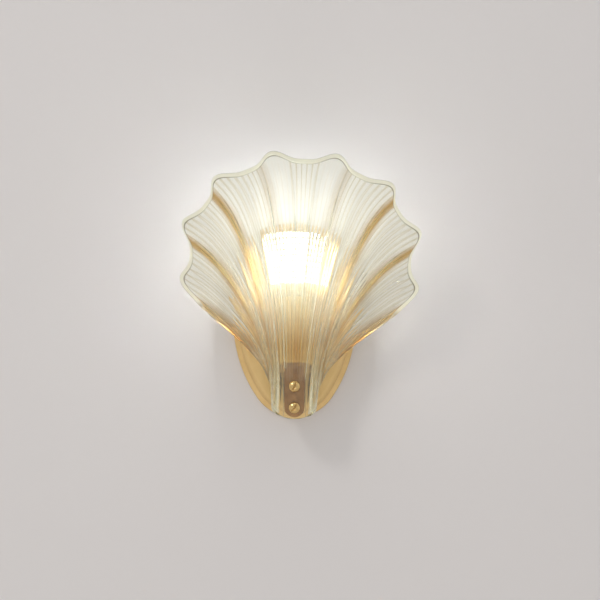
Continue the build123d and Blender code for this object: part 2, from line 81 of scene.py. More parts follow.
# %% Helpers for materials
class Value:
    """A number that varies over a surface. Arithmetic on it adds Math nodes."""

    def __init__(self, finish, socket):
        self.finish, self.socket = finish, socket

    def maths(self, operation, *terms):
        return self.finish.node("ShaderNodeMath", {"operation": operation}, dict(enumerate(terms)))

    def __add__(self, other): return self.maths("ADD", self, other)
    def __radd__(self, other): return self.maths("ADD", other, self)
    def __sub__(self, other): return self.maths("SUBTRACT", self, other)
    def __rsub__(self, other): return self.maths("SUBTRACT", other, self)
    def __mul__(self, other): return self.maths("MULTIPLY", self, other)
    def __rmul__(self, other): return self.maths("MULTIPLY", other, self)
    def __truediv__(self, other): return self.maths("DIVIDE", self, other)
    def __pow__(self, other): return self.maths("POWER", self, other)
    def __mod__(self, other): return self.maths("MODULO", self, other)
    def size(self): return self.maths("ABSOLUTE", self)
    def cosine(self): return self.maths("COSINE", self)
    def clamped(self): return self.maths("MAXIMUM", self.maths("MINIMUM", self, 1.0), 0.0)


class Finish:
    """A material and the nodes that make it."""

    def __init__(self, name):
        self.material = bpy.data.materials.new(name)
        self.material.use_nodes = True
        self.material.node_tree.nodes.clear()

    def node(self, kind, settings=None, sockets=None, output=0):
        """Adds a node. Its settings are set first, because they decide which sockets it has."""
        made = self.material.node_tree.nodes.new(kind)
        for name, value in (settings or {}).items():
            setattr(made, name, value)
        for name, value in (sockets or {}).items():
            if isinstance(value, Value):
                self.material.node_tree.links.new(value.socket, made.inputs[name])
            else:
                made.inputs[name].default_value = value
        return Value(self, made.outputs[output])

    def place(self, stretch=(1.0, 1.0, 1.0)):
        """Object coordinates in metres, stretched for a pattern with a grain."""
        spot = self.node("ShaderNodeTexCoord", output="Object")
        return self.node("ShaderNodeMapping", None, {"Vector": spot, "Scale": stretch})

    def noise(self, scale, detail, stretch=(1.0, 1.0, 1.0)):
        """A cloudy pattern between 0 and 1. Scale is how many of its cells fit in a metre."""
        return self.node("ShaderNodeTexNoise", None, {
            "Vector": self.place(stretch), "Scale": scale, "Detail": detail})

    def mix(self, share, first, second):
        """One colour turning into another. A Mix node has its colours at sockets 6 and 7."""
        ends = [c if isinstance(c, Value) else (*c, 1.0) for c in (first, second)]
        return self.node("ShaderNodeMix", {"data_type": "RGBA"}, {0: share, 6: ends[0], 7: ends[1]}, 2)

    def blend(self, share, first, second):
        """One shader turning into another."""
        return self.node("ShaderNodeMixShader", None, {0: share, 1: first, 2: second})

    def bump(self, height, depth):
        """A skin that is only shaded as uneven, by this depth in metres."""
        return self.node("ShaderNodeBump", None, {"Height": height, "Distance": depth})

    def surface(self, **sockets):
        """The shader itself. Underscores in a socket's name stand for spaces."""
        named = {name.replace("_", " "): value for name, value in sockets.items()}
        return self.end(self.node("ShaderNodeBsdfPrincipled", None, named))

    def end(self, shader, volume=None):
        """Joins the shader, and what fills the piece if anything does, to the output."""
        made = self.material.node_tree.nodes.new("ShaderNodeOutputMaterial")
        self.material.node_tree.links.new(shader.socket, made.inputs["Surface"])
        if volume:
            self.material.node_tree.links.new(volume.socket, made.inputs["Volume"])
        return self.material


print("materials are made with", Finish.__name__, "and", Value.__name__)

# %% [markdown]
# ## Helpers for meshes
#
# Most pieces are built the same way: a bmesh is opened, operators shape it, and it is closed
# into an object that rides on one body of the CAD model. These few helpers do the opening
# and closing, so that each later cell holds only the shape itself.

# %% Helpers for meshes
def piece(bm, name, body, material, replaced):
    """Turns a bmesh into a finished piece of the light that stands in for the CAD nodes named."""
    bmesh.ops.recalc_face_normals(bm, faces=bm.faces)
    mesh = bpy.data.meshes.new(name)
    bm.to_mesh(mesh)
    bm.free()
    mesh.polygons.foreach_set("use_smooth", [True] * len(mesh.polygons))
    made = bpy.data.objects.new(name, mesh)
    bpy.context.scene.collection.objects.link(made)
    mesh.materials.append(material)
    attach(made, body)
    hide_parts(*replaced)
    print(name, "has", len(mesh.polygons), "faces")


def verts_of(geom):
    """The vertices in a list of mixed elements, which is what most operators return."""
    return [g for g in geom if isinstance(g, bmesh.types.BMVert)]


def edges_of(geom):
    """The edges in such a list."""
    return [g for g in geom if isinstance(g, bmesh.types.BMEdge)]


def sharp_edges(bm, angle):
    """Edges where two faces meet at more than this angle, in degrees."""
    return [e for e in bm.edges if e.is_manifold and e.calc_face_angle(0.0) > math.radians(angle)]


def round_off(bm, edges, width, segments):
    """Rounds these edges, as a file or a press tool does on the real piece."""
    bmesh.ops.bevel(bm, geom=edges, offset=width, segments=segments, profile=0.5, affect="EDGES",
                    material=-1, clamp_overlap=True)


def turned(outline, steps):
    """A lathe-turned piece about the Z axis from corners given as radius and height."""
    bm = bmesh.new()
    corners = [bm.verts.new((radius, 0.0, height)) for radius, height in outline]
    edges = [bm.edges.new(pair) for pair in zip(corners, corners[1:])]
    bmesh.ops.spin(bm, geom=corners + edges, cent=(0, 0, 0), axis=(0, 0, 1),
                   angle=math.tau, steps=steps, use_merge=True)
    bmesh.ops.remove_doubles(bm, verts=bm.verts, dist=1e-6)
    return bm


def moved(bm, matrix):
    """The same bmesh, moved, turned or scaled."""
    bmesh.ops.transform(bm, matrix=matrix, verts=bm.verts)
    return bm


def joined(parts):
    """Several bmeshes in one."""
    whole = bmesh.new()
    for part in parts:
        spare = bpy.data.meshes.new("spare")
        part.to_mesh(spare)
        part.free()
        whole.from_mesh(spare)
        bpy.data.meshes.remove(spare)
    return whole


# %% [markdown]
# ## Brass
#
# The backplate, the strap, the cup and the screws are all brass, and each has its own finish.
# The plate is satin: fine brushing that scatters a highlight sideways. The strap is older
# looking, with a brown bloom. A metal's colour is in its reflection, so Metallic is 1 and
# the tone sits in Base Color, while the brushing is roughness and a very shallow bump.

# %% Metal finishes
bloom_gain, bloom_shift = 1.8, 0.4  # stretch the noise, so that both tones are reached
grain_rough, bloom_rough = 0.16, 0.1
grain_depth = 6e-6


def metal(name, bright, dull, rough, brushed=(1.0, 1.0, 1.0), grain=900.0, bloom=60.0):
    """A metal with a slow bloom between two tones and a fine grain drawn out one way."""
    finish = Finish(name)
    slow = finish.noise(bloom, 4.0)
    fine = finish.noise(grain, 3.0, brushed)
    tone = finish.mix((slow * bloom_gain - bloom_shift).clamped(), bright, dull)
    return finish.surface(
        Base_Color=tone, Metallic=1.0,
        Roughness=rough + (fine - 0.5) * grain_rough + (slow - 0.5) * bloom_rough,
        Normal=finish.bump(fine, grain_depth))


satin_brass = metal("satin_brass", (0.86, 0.63, 0.30), (0.78, 0.55, 0.25), 0.5, (1.0, 1.0, 14.0))
strap_brass = metal("strap_brass", (0.44, 0.24, 0.10), (0.28, 0.14, 0.055), 0.34,
                    (14.0, 1.0, 1.0), bloom=180.0)
cup_brass = metal("cup_brass", (1.0, 0.80, 0.34), (0.92, 0.68, 0.24), 0.25, (1.0, 1.0, 16.0))
screw_brass = metal("screw_brass", (0.86, 0.62, 0.28), (0.62, 0.40, 0.15), 0.22, bloom=400.0)
nut_brass = metal("nut_brass", (0.78, 0.56, 0.26), (0.62, 0.42, 0.18), 0.30, bloom=300.0)
thread_brass = metal("thread_brass", (0.78, 0.55, 0.25), (0.60, 0.40, 0.17), 0.28, bloom=250.0)
zinc_steel = metal("zinc_steel", (0.66, 0.67, 0.68), (0.50, 0.51, 0.53), 0.34,
                   grain=1400.0, bloom=220.0)
tinned = metal("tinned", (0.78, 0.77, 0.74), (0.60, 0.59, 0.56), 0.30, bloom=300.0)
cap_nickel = metal("cap_nickel", (0.80, 0.78, 0.74), (0.66, 0.64, 0.60), 0.24, bloom=200.0)
print("metals:", [material.name for material in bpy.data.materials])

# %% [markdown]
# ## Plastics, rubber and ceramic
#
# The hidden pieces are seen from behind and from below. Each is a plain moulding, so the
# difference is in small things: speckle, a soft unevenness from the mould, and how wide
# the highlight is.

# %% Other finishes
mould_scale, skin_rough = 70.0, 0.2
slow_share, fine_share, tone_shift = 1.2, 0.8, 0.5


def moulded(name, colour, other, rough, speck=500.0, depth=2e-5, coat=0.0):
    """A moulded or fired material with a slow change of tone and a fine skin."""
    finish = Finish(name)
    slow, fine = finish.noise(mould_scale, 3.0), finish.noise(speck, 5.0)
    tone = finish.mix((slow * slow_share + fine * fine_share - tone_shift).clamped(), colour, other)
    return finish.surface(
        Base_Color=tone, Roughness=rough + (fine - 0.5) * skin_rough, Coat_Weight=coat,
        Normal=finish.bump(fine, depth))


pad_rubber = moulded("pad_rubber", (0.72, 0.70, 0.64), (0.60, 0.58, 0.52), 0.6)
fibre = moulded("fibre", (0.34, 0.19, 0.10), (0.24, 0.13, 0.07), 0.7, 1600.0, 5e-5)
porcelain = moulded("porcelain", (0.84, 0.82, 0.77), (0.78, 0.76, 0.70), 0.22, coat=0.6)
terminal_plastic = moulded("terminal_plastic", (0.80, 0.80, 0.76), (0.70, 0.70, 0.66), 0.45)
wire_brown = moulded("wire_brown", (0.13, 0.055, 0.03), (0.10, 0.04, 0.02), 0.42)
wire_blue = moulded("wire_blue", (0.03, 0.12, 0.42), (0.02, 0.09, 0.34), 0.42)
wire_earth = moulded("wire_earth", (0.08, 0.34, 0.07), (0.06, 0.28, 0.05), 0.42)
cap_glaze = moulded("cap_glaze", (0.05, 0.045, 0.05), (0.03, 0.03, 0.035), 0.15, coat=0.8)
lamp_white = moulded("lamp_white", (0.86, 0.86, 0.83), (0.80, 0.80, 0.76), 0.38)
board_white = moulded("board_white", (0.84, 0.84, 0.80), (0.76, 0.76, 0.72), 0.5, 900.0)
print("finishes so far:", len(bpy.data.materials))

# %% [markdown]
# ## Light chips
#
# The lamp is lit. Its chips glow enough to burn out the middle of the shell and to throw a
# soft halo on the wall, and no more. The lid on top glows far less, with the light that leaks
# through its white plastic. Both are a little cool, because the glass warms what it lets by.

# %% The glow
def lit_white(name, grain, detail, base, first, second, strength):
    """A white piece that gives light, mottled between two tones."""
    finish = Finish(name)
    return finish.surface(
        Base_Color=(*base, 1.0), Roughness=0.4, Emission_Strength=strength,
        Emission_Color=finish.mix(finish.noise(grain, detail), first, second))


chip_light = lit_white("chip_light", 300.0, 1.0, (0.9, 0.85, 0.7),
                       (0.88, 0.97, 1.0), (0.94, 0.98, 0.97), 115.0)
lid_glow = lit_white("lid_glow", 400.0, 2.0, (0.86, 0.86, 0.83),
                     (0.88, 0.97, 1.0), (0.84, 0.92, 0.95), 34.0)
print("lit:", chip_light.name, lid_glow.name)

# %% [markdown]
# ## Where the lines of the glass run
#
# In front of an even wall, clear reeds can't be seen: each small lens shows the same pale
# tone. The lines on the real shell are the dark room, the brass cup and the plate, bent into
# view by grooves and flanks, and here they are painted. So the shell's mesh carries five
# numbers at each vertex, and the shader turns them into masks: painted shade in the grooves
# between reeds, painted reflections of the brass in stripes low on the shell, painted amber
# shade on the flanks of the lobes, a painted reflection of the cup as the gold middle above
# the foot, and a painted glow round the lamp.

# %% Masks on the glass
lobe_step, reed_pitch = 30.0, 3.0       # turn of a lobe and of a reed, in degrees
flank_turn = 23.0                       # turn of the outer flank of the first lobe
amber_rim, amber_low = 3.0, 15.0        # width of the painted flank shade at the rim, and what it gains below
amber_from, amber_over = 30.0, 25.0     # turn where the painted flank shade grows strong, and over how much
foot_top, foot_fade = 0.14, 8.0         # climb where the plain foot ends, and how fast it does
warm_top, warm_fade = 0.25, 2.2         # the same for the warm lower glass
stripe_shift = 0.8                      # sets the painted stripes beside the grooves, not in them
cup_reflection_turn = 36.0                        # how far round the painted reflection of the cup reaches
lamp_middle, lamp_reach = (0.0, -0.055, 0.058), 0.085

glass_finish = Finish("champagne_glass")


def stored(name):
    """A number that the shell's mesh carries at each vertex."""
    return glass_finish.node("ShaderNodeAttribute", {"attribute_name": name}, None, "Fac")


shell_layers = ("turn", "climb", "edge", "plain", "over")
turn_at, climb_at, painted_rim_at, plain_at, over_at = (stored(name) for name in shell_layers)
wavy = glass_finish.noise(45.0, 2.0)
uneven = glass_finish.noise(220.0, 3.0, (1.0, 1.0, 0.12))
reed = (turn_at * (math.pi / reed_pitch)).cosine().size()
crest = (turn_at * (math.pi / (2 * reed_pitch)) + stripe_shift).cosine().size()
above_foot = ((climb_at - foot_top) * foot_fade).clamped()
low = 1 - ((climb_at - warm_top) * warm_fade).clamped()
# Painted shade in the grooves between reeds, standing for the dark room and the brass bent into view
# there.
groove = (1 - reed) ** 3 * (1 - plain_at * 0.9) * (0.5 + uneven) * above_foot
# Painted reflections of the brass cup and plate, bent into stripes by the reeds low on the shell.
painted_brass_stripes = (1 - crest) ** 2 * low * (0.25 + uneven * 1.6) * above_foot
# A painted reflection of the brass cup, seen through the glass as a gold middle above the foot.
painted_cup_reflection = low * above_foot * (1 - turn_at.size() / cup_reflection_turn).clamped()

# The flanks come back at every lobe, so the turn is folded into one lobe's step first.
from_flank = ((turn_at.size() + (1.5 * lobe_step - flank_turn)) % lobe_step - lobe_step / 2).size()
flank = (1.3 - from_flank / (amber_rim + amber_low * (1 - climb_at))).clamped()
reached = ((turn_at.size() - amber_from) / amber_over).clamped() * 0.75 + 0.25
# Painted amber shade on the flanks of the lobes, standing for the dark room and the brass bent into view
# by them.
painted_flank_shade = flank * reached * (climb_at * 4.0 - 1.1).clamped() * (0.7 + uneven * 0.8)

from_lamp = glass_finish.node("ShaderNodeVectorMath", {"operation": "DISTANCE"}, {
    0: glass_finish.place(), 1: lamp_middle}, 1)
near_lamp = (1 - from_lamp / lamp_reach).clamped()
print("nodes behind the masks:", len(glass_finish.material.node_tree.nodes))

# %% [markdown]
# ## The tint and the glow of the glass
#
# Transmission with a real index does the bending, and a thin volume tints what crosses much
# glass. The masks lay their painted shade and reflections over each other in Base Color. Real
# pressed glass also gathers the lamp's light and gives it back at its skin and rim. Tracing
# that takes far more bounces than a render has, so a small share of the skin lets light through
# like paper and gives off a painted glow, strongest round the lamp, with painted highlights on
# the crests low down. The rim gets more of the painted glow, and a painted dark line.

# %% The glass
clear_tone, warm_tone, warm_share = (1.0, 1.0, 0.99), (1.0, 0.90, 0.60), 0.8
glow_tone, rim_glow_tone, rim_shade_tone = (0.97, 0.96, 0.84, 1.0), (0.93, 0.90, 0.76, 1.0), (0.16, 0.13, 0.06, 1.0)
# The tints laid over the glass are painted: shade in the grooves, reflections of the brass in the
# stripes and the gold middle, amber shade on the flanks.
tints = ((painted_cup_reflection, (0.86, 0.58, 0.13)), (groove, (0.68, 0.59, 0.36)),
         (painted_brass_stripes, (0.42, 0.24, 0.03)), (painted_flank_shade, (0.50, 0.28, 0.06)))

tone = glass_finish.mix(low * warm_share, clear_tone, warm_tone)
for mask, colour in tints:
    tone = glass_finish.mix(mask.clamped(), tone, colour)
clear = glass_finish.node("ShaderNodeBsdfPrincipled", None, {
    "Base Color": tone, "Roughness": 0.01, "IOR": 1.5, "Transmission Weight": 1.0,
    "Normal": glass_finish.bump(wavy * 0.5, 5e-4)})


def glowing(paper, light, strength, share):
    """Glass that lets light through like paper, and by this share gives off a painted glow for the lamp
    light it would take in.
    """
    passing = glass_finish.node("ShaderNodeBsdfTranslucent", None, {"Color": paper})
    painted_glow = glass_finish.node("ShaderNodeEmission", None, {"Color": light, "Strength": strength})
    return glass_finish.blend(share, passing, painted_glow)


# Painted glow in the skin: strongest round the lamp, with painted highlights along the crests low on the
# shell.
painted_glow_share = (0.05 + reed * reed * 0.05 * (1 - low) + crest ** 10 * low * above_foot * 0.12
         + near_lamp * 0.35 + near_lamp ** 3 * 0.3)
skin = glass_finish.blend(painted_glow_share, clear, glowing((0.95, 0.95, 0.85, 1.0), glow_tone, 1.2, 0.5))

# A painted dark line, standing for the dark room bent into view at the rounded rim, lies where the rim
# turns over to its back, and is strongest on the lobes.
on_lobe = (1 - (turn_at * (math.tau / lobe_step)).cosine()) * 0.5
painted_rim_line = ((over_at - 0.8) * 12.0).clamped() * (0.25 + on_lobe * 0.75)
painted_rim_glow_and_shade = glass_finish.blend(
    painted_rim_line, glowing(rim_glow_tone, rim_glow_tone, 0.9, 0.7), glowing(rim_shade_tone, rim_shade_tone, 0.9, 0.7))
tint = glass_finish.node("ShaderNodeVolumeAbsorption", None, {
    "Color": (0.70, 0.80, 0.36, 1.0), "Density": 14.0})
champagne_glass = glass_finish.end(glass_finish.blend(painted_rim_at * 0.9, skin, painted_rim_glow_and_shade), tint)
print("nodes in the glass:", len(champagne_glass.node_tree.nodes))

# %% [markdown]
# ## The form of the shell
#
# The CAD model draws the shell from one formula: a curve climbs from the foot to the rim, and
# is swept round through an angle. Eight lobes swell from it, and the rim reaches out at each.
# The same formula is used here, so the fine shell stays in the coarse one's place, and the
# narrow reeds are added to it. A point is found from its turn round the shell, in degrees
# from the front, and its climb, from 0 at the foot to 1 at the rim. Lengths are in
# millimetres until the last step.

# %% The shell's formula
pad_front, glass_t = 57.5, 5.5          # depth of the pad's face, thickness of the glass
shell_base_z, shell_base_w, shell_base_deep = -101.5, 21.0, 22.0
shell_rim_w, shell_rim_deep, shell_rim_depth = 117.2, 46.0, 119.0
shell_rim_top, shell_wing_z = 163.5, 9.0
shell_wrap = 117.5                      # how far each wing turns round from the front
lobe_deep, lobe_reach, top_wave = 4.5, 6.0, 0.2
base_rise = 16.0                        # how much the foot's edge climbs at its sides
base_square, rim_square = 3.5, 2.0      # squareness of the shell's plan, from 2 for round
upright, bend_reach = 0.2, 0.08         # share of the height that stands upright, and its bend
flare, wing_flare = 1.9, 0.2            # how late the sides open, and how much sooner the wings
lip_share, lip_flare = 0.22, 12.0       # share of the width that opens just below the rim
lip_out, lip_curl = 8.0, 34.0           # how far the lip turns out to the room, and how late
soft_late, reach_late, swell_late, wing_late = 6.0, 8.0, 20.0, 4.0   # how late each sets in
flank_low, flank_rim = 0.35, 1.0        # softness of the flanks, low on the shell and at the rim
rim_swell = 0.25                        # share by which the glass thickens at the rim
shell_screw_z, shell_lean = -78.5, 2.5  # the shell hangs this far off upright, in degrees
reed_high, reed_low = 0.5, 0.6          # height of a reed, and its share of that at the foot
reed_end, foot_plain, foot_over = 0.02, 0.1, 0.12   # where the reeds fade, as shares of the climb
smooth_lobe, smooth_soft = 6.0, 0.5     # half the turn of a lobe's smooth face near the rim
corner_turn, corner_cut = 9.0, 0.05     # turn and climb rounded off at a wing's corner


def lobe_wave(turn):
    """The scallops of the rim: lowest in a valley, highest on a lobe."""
    angle = math.tau * turn / lobe_step
    return -math.cos(angle) + top_wave * math.cos(2 * angle)


def flute(turn, climb):
    """-1 in a valley to 1 on a lobe, with flanks that are steep below and soften at the rim."""
    angle = math.tau * turn / lobe_step
    softness = flank_low + (flank_rim - flank_low) * climb**soft_late
    return -math.cos(angle) / math.hypot(math.cos(angle), softness * math.sin(angle))


def ramp(climb):
    """Stays near 0 while the shell stands upright, then grows evenly with the climb."""
    return (climb - upright + math.hypot(climb - upright, bend_reach)) / 2


def mean_point(turn, climb, lipped=True):
    """A point of the shell's middle surface before the lobes, with or without its lip."""
    sine, cosine = math.sin(math.radians(turn)), math.cos(math.radians(turn))
    winged = abs(turn / shell_wrap) ** wing_late
    lip = lip_share * (1 - winged)
    spread = (1 - lip) * climb ** (flare - wing_flare * winged) + lip * climb**lip_flare
    forward = (ramp(climb) - ramp(0.0)) / (ramp(1.0) - ramp(0.0))
    power = base_square + (rim_square - base_square) * climb
    square = (abs(sine) ** power + abs(cosine) ** power) ** (-1 / power)
    half_w = shell_base_w + (shell_rim_w - shell_base_w) * spread
    half_d = shell_base_deep + (shell_rim_deep - shell_base_deep) * spread
    front = pad_front + glass_t / 2
    depth = front + (shell_rim_depth - front) * forward - half_d * (1 - cosine * square)
    depth += lip_out * climb**lip_curl * lipped
    low = shell_base_z + base_rise * (1 - cosine)
    to_wing = math.cos(math.radians(90 * turn / shell_wrap))
    high = shell_wing_z + (shell_rim_top - shell_wing_z) * to_wing
    return Vector((half_w * sine * square, -depth, low + (high - low) * climb))


def plain(turn, climb):
    """1 on the smooth face of a lobe near the rim, 0 where the glass is reeded."""
    from_lobe = abs(turn % lobe_step - lobe_step / 2)
    middle = 1 / (1 + math.exp(abs(turn) - lobe_step))
    return climb**3 * middle / (1 + math.exp((from_lobe - smooth_lobe) / smooth_soft))


def reeding(turn, climb):
    """Narrow reeds that run up the shell, with a sharp groove between each two."""
    fade = min(1.0, max(0.0, (1.0 - climb) / reed_end), max(0.0, (climb - foot_plain) / foot_over))
    reed = abs(math.sin(math.pi * (turn / reed_pitch + 0.5)))
    return reed_high * reed * (reed_low + (1 - reed_low) * climb) * fade * (1 - plain(turn, climb))


lean = (Matrix.Translation((0, 0, shell_screw_z)) @ Matrix.Rotation(math.radians(shell_lean), 4, "Y")
        @ Matrix.Translation((0, 0, -shell_screw_z)))


def glass_spot(turn, climb, side, share):
    """A point of the front (side 1) or back (side -1) of the glass, drawn in at an edge by share."""
    nudge = 1e-3
    inner = max(climb, 2 * nudge)       # the curve isn't defined below the foot
    frames = []
    for lipped in (False, True):
        across = mean_point(turn + nudge, climb, lipped) - mean_point(turn - nudge, climb, lipped)
        along = mean_point(turn, inner + nudge, lipped) - mean_point(turn, inner - nudge, lipped)
        frames.append((across.cross(along).normalized(), along.normalized()))
    (outward, upward), (skin_normal, _) = frames
    half_t = glass_t / 2 * (1 + rim_swell * climb**swell_late)
    proud = side * share * (half_t + reeding(turn, climb))
    spot = (mean_point(turn, climb) + outward * lobe_deep * climb * flute(turn, climb)
            + upward * lobe_reach * climb**reach_late * lobe_wave(turn) + skin_normal * proud)
    return lean @ spot


print("rim at the front, in mm:", [round(c) for c in glass_spot(0, 1, 1, 0)])

# %% [markdown]
# ## The glass shell
#
# The shell is two grids, the front and the back of the glass, laid over the formula. Their
# rows crowd together near the rim, the foot and the wing edges, where the two surfaces close
# on each other in a full, soft edge as fire-polished glass does. Where the grids meet, their
# vertices are merged, and the shell is one closed skin. The numbers for the shader are
# written on each vertex as it is placed.

# %% Model the shell
columns, rows, edge_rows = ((720, 56, 7))
edge_round, squareness = glass_t / 2, 0.4   # how far in an edge is rounded, and how full it is
rim_band, band_fade = 0.9, 0.4          # width of the rim's painted glow, in mm, and of its soft border
full_share, full_fade = 0.97, 0.1       # the rim's own thickness gets the painted glow too
wing_fade, foot_glow = 4.0, 0.7         # the painted glow fades over a wing's last turn and at the foot
back_mark = 0.2                         # lifts "over" on the back, so that the painted dark line grows over the rim
pad_half_w, pad_top, pad_gap = 11.0, 26.0, 0.02     # the flat behind the glass, for the pad
shell_girth = 420.0                     # about the length of the rim, for spacing the columns
rib_steps = 12


def crowded(count, length):
    """Places from 0 to 1 and how full the edge is there, crowded in a quarter-round at each end."""
    places = []
    for i in range(count + 1):
        near = min(i, count - i)
        quarter = math.radians(90) * min(near, edge_rows) / edge_rows
        inset = edge_round * (1 - math.cos(quarter) ** squareness) / length
        full = math.sin(quarter) ** squareness
        if near > edge_rows:
            reach = edge_round / length
            inset = reach + (0.5 - reach) * (near - edge_rows) / (count / 2 - edge_rows)
        places.append((inset if i <= count / 2 else 1 - inset, full))
    return places


def rib_length(turn):
    """The length of the glass from the foot to the rim at this turn."""
    spots = [mean_point(turn, i / rib_steps) for i in range(rib_steps + 1)]
    return sum((b - a).length for a, b in zip(spots, spots[1:]))


shell_bm = bmesh.new()
turn_layer, climb_layer, painted_rim_layer, plain_layer, over_layer = (
    shell_bm.verts.layers.float.new(name) for name in shell_layers)
stops = []
for across_place, side_full in crowded(columns, shell_girth):
    turn = shell_wrap * (2 * across_place - 1)
    near = max(0.0, 1 - (shell_wrap - abs(turn)) / corner_turn)
    top = 1 - corner_cut * (1 - math.sqrt(1 - near**2))
    along_rib = crowded(rows, rib_length(turn))
    stops.append([(turn, climb * top, full * side_full) for climb, full in along_rib])
for side in (1, -1):
    sheet = bmesh.ops.create_grid(shell_bm, x_segments=columns, y_segments=rows, size=0.5)
    for vert in sheet["verts"]:
        i, j = round((vert.co.x + 0.5) * columns), round((vert.co.y + 0.5) * rows)
        turn, climb, share = stops[i][j]
        spot = glass_spot(turn, climb, side, share)
        if side < 0 and abs(spot.x) < pad_half_w and spot.z < shell_screw_z + pad_top:
            spot.y = min(spot.y, -pad_front - pad_gap)
        vert.co = spot * mm
        vert[turn_layer], vert[climb_layer], vert[plain_layer] = turn, climb, plain(turn, climb)
        near_end = min(climb, 1 - climb)
        from_rim = near_end * rib_length(turn) if near_end < 0.1 else math.inf
        # The rim glows pale by painted light, standing for the lamp light that the glass carries out to
        # its edge.
        rim_glow = max(0.0, (rim_band - from_rim) / band_fade, (full_share - share) / full_fade)
        kept_part = min(1.0, (shell_wrap - abs(turn)) / wing_fade) * (1.0 if climb > 0.5 else foot_glow)
        vert[painted_rim_layer] = min(1.0, rim_glow) * kept_part
        vert[over_layer] = share + (back_mark if side < 0 else 0.0)
bmesh.ops.remove_doubles(shell_bm, verts=shell_bm.verts, dist=2e-6)
piece(shell_bm, "glass", "fixture", champagne_glass, ["glass_shell"])

# %% [markdown]
# ## The backplate
#
# The backplate is one pressed dish: a flat foot band on the wall, then a crown with a soft
# shoulder. Its outline is an oval of four arcs. One ring of edges is drawn on that oval, and
# is extruded ring by ring up the outside, over the crown and back down inside. This is how
# a spinning is thought of too, only the rings are oval.

# %% Model the backplate
plate_w, plate_h, plate_end_r, plate_wall = 130.0, 206.0, 48.0, 1.5
band_depth, band_w, band_round, plate_depth, crown_round = 4.0, 5.5, 1.2, 18.0, 6.0
hem, step_w, step_ease = 0.3, 0.6, 0.1  # eased edge at the wall, and the corner of band and crown
oval_steps = 192


def oval_spot(angle, inset, depth):
    """A point of the oval, drawn in by inset. The angle picks the arc and the place on it."""
    rise, half_w = plate_h / 2 - plate_end_r, plate_w / 2
    side_r = (half_w**2 + rise**2 - plate_end_r**2) / (2 * (half_w - plate_end_r))
    switch = math.atan2(rise, side_r - half_w)
    c, s = math.cos(angle), math.sin(angle)
    if abs(math.asin(max(-1.0, min(1.0, s)))) < switch:
        x, z = math.copysign(1, c) * (half_w - side_r) + (side_r - inset) * c, (side_r - inset) * s
    else:
        x, z = (plate_end_r - inset) * c, math.copysign(rise, s) + (plate_end_r - inset) * s
    return Vector((x, -depth, z)) * mm


def oval_ring(bm, inset, depth):
    """Draws one oval ring of edges and returns the angle at each of its vertices."""
    made = bmesh.ops.create_circle(bm, segments=oval_steps, radius=1.0)
    angles = {v: math.atan2(v.co.y, v.co.x) for v in made["verts"]}
    for vert, angle in angles.items():
        vert.co = oval_spot(angle, inset, depth)
    return angles


def oval_rings(bm, rings):
    """Extrudes one oval ring through a list of insets and depths and closes both ends."""
    angles = oval_ring(bm, *rings[0])
    first = edges = list(bm.edges)
    for inset, depth in rings[1:]:
        before = {tuple(v.co): angles[v] for e in edges for v in e.verts}
        geom = bmesh.ops.extrude_edge_only(bm, edges=edges)["geom"]
        for vert in verts_of(geom):
            angles[vert] = before[tuple(vert.co)]
            vert.co = oval_spot(angles[vert], inset, depth)
        edges = edges_of(geom)
    for loop in (first, edges):
        bmesh.ops.contextual_create(bm, geom=loop)


def quarter(radius, inset, depth, steps):
    """Rings round an outer shoulder that ends flat at this inset and depth."""
    turns = [math.radians(90) * i / steps for i in range(steps + 1)]
    return [(inset - radius * math.sin(t), depth - radius * (1 - math.cos(t))) for t in reversed(turns)]


plate_bm = bmesh.new()
outside = [(hem, 0.0), (0.0, hem), *quarter(band_round, band_round, band_depth, 4),
           (band_w - step_w, band_depth), (band_w - step_ease, band_depth + step_ease),
           (band_w, band_depth + step_w),
           *quarter(crown_round, band_w + crown_round, plate_depth, 8),
           (band_w + crown_round + 0.5, plate_depth)]
inside = [(inset + plate_wall, depth - plate_wall)
          for inset, depth in outside if depth > band_depth + 0.5]
inner_band, inner_crown = band_depth - plate_wall, band_w + plate_wall
foot = [(inner_crown, inner_band + 0.4), (inner_crown - 0.4, inner_band),
        (plate_wall, inner_band), (plate_wall, 0.0)]
oval_rings(plate_bm, outside)
back_bm = bmesh.new()
oval_rings(back_bm, foot[::-1] + inside)
print("plate rings:", len(outside), len(inside) + len(foot))
for bm in (plate_bm, back_bm):          # the cap at the wall is opened, the one at the crown stays
    caps = [f for f in bm.faces if len(f.verts) == oval_steps]
    wall_cap = max(caps, key=lambda f: f.calc_center_median().y)
    bmesh.ops.delete(bm, geom=[wall_cap], context="FACES_ONLY")
dish_bm = joined([plate_bm, back_bm])
rim = [e for e in dish_bm.edges if e.is_boundary]
bmesh.ops.bridge_loops(dish_bm, edges=rim)
piece(dish_bm, "plate", "fixture", satin_brass, ["backplate"])

# %% [markdown]
# ## The strap
#
# The strap is flat brass bar, bent twice: a foot screwed to the plate, a leg that carries the
# lampholder, and a tab that the glass leans on. A line of edges follows the middle of the
# bar, is widened by an extrusion and given its thickness, and the edges are then eased.

# %% Model the strap
strap_w, strap_t, strap_top, tab_front = 20.0, 3.0, -45.7, 56.0
foot_end, strap_bend = -87.0, 2.5
tab_screws = (-67.5, -89.5)
foot_corner, tip_left, strap_ease = 3.0, 0.05, 0.45     # roundings of the foot, the tab and the edges


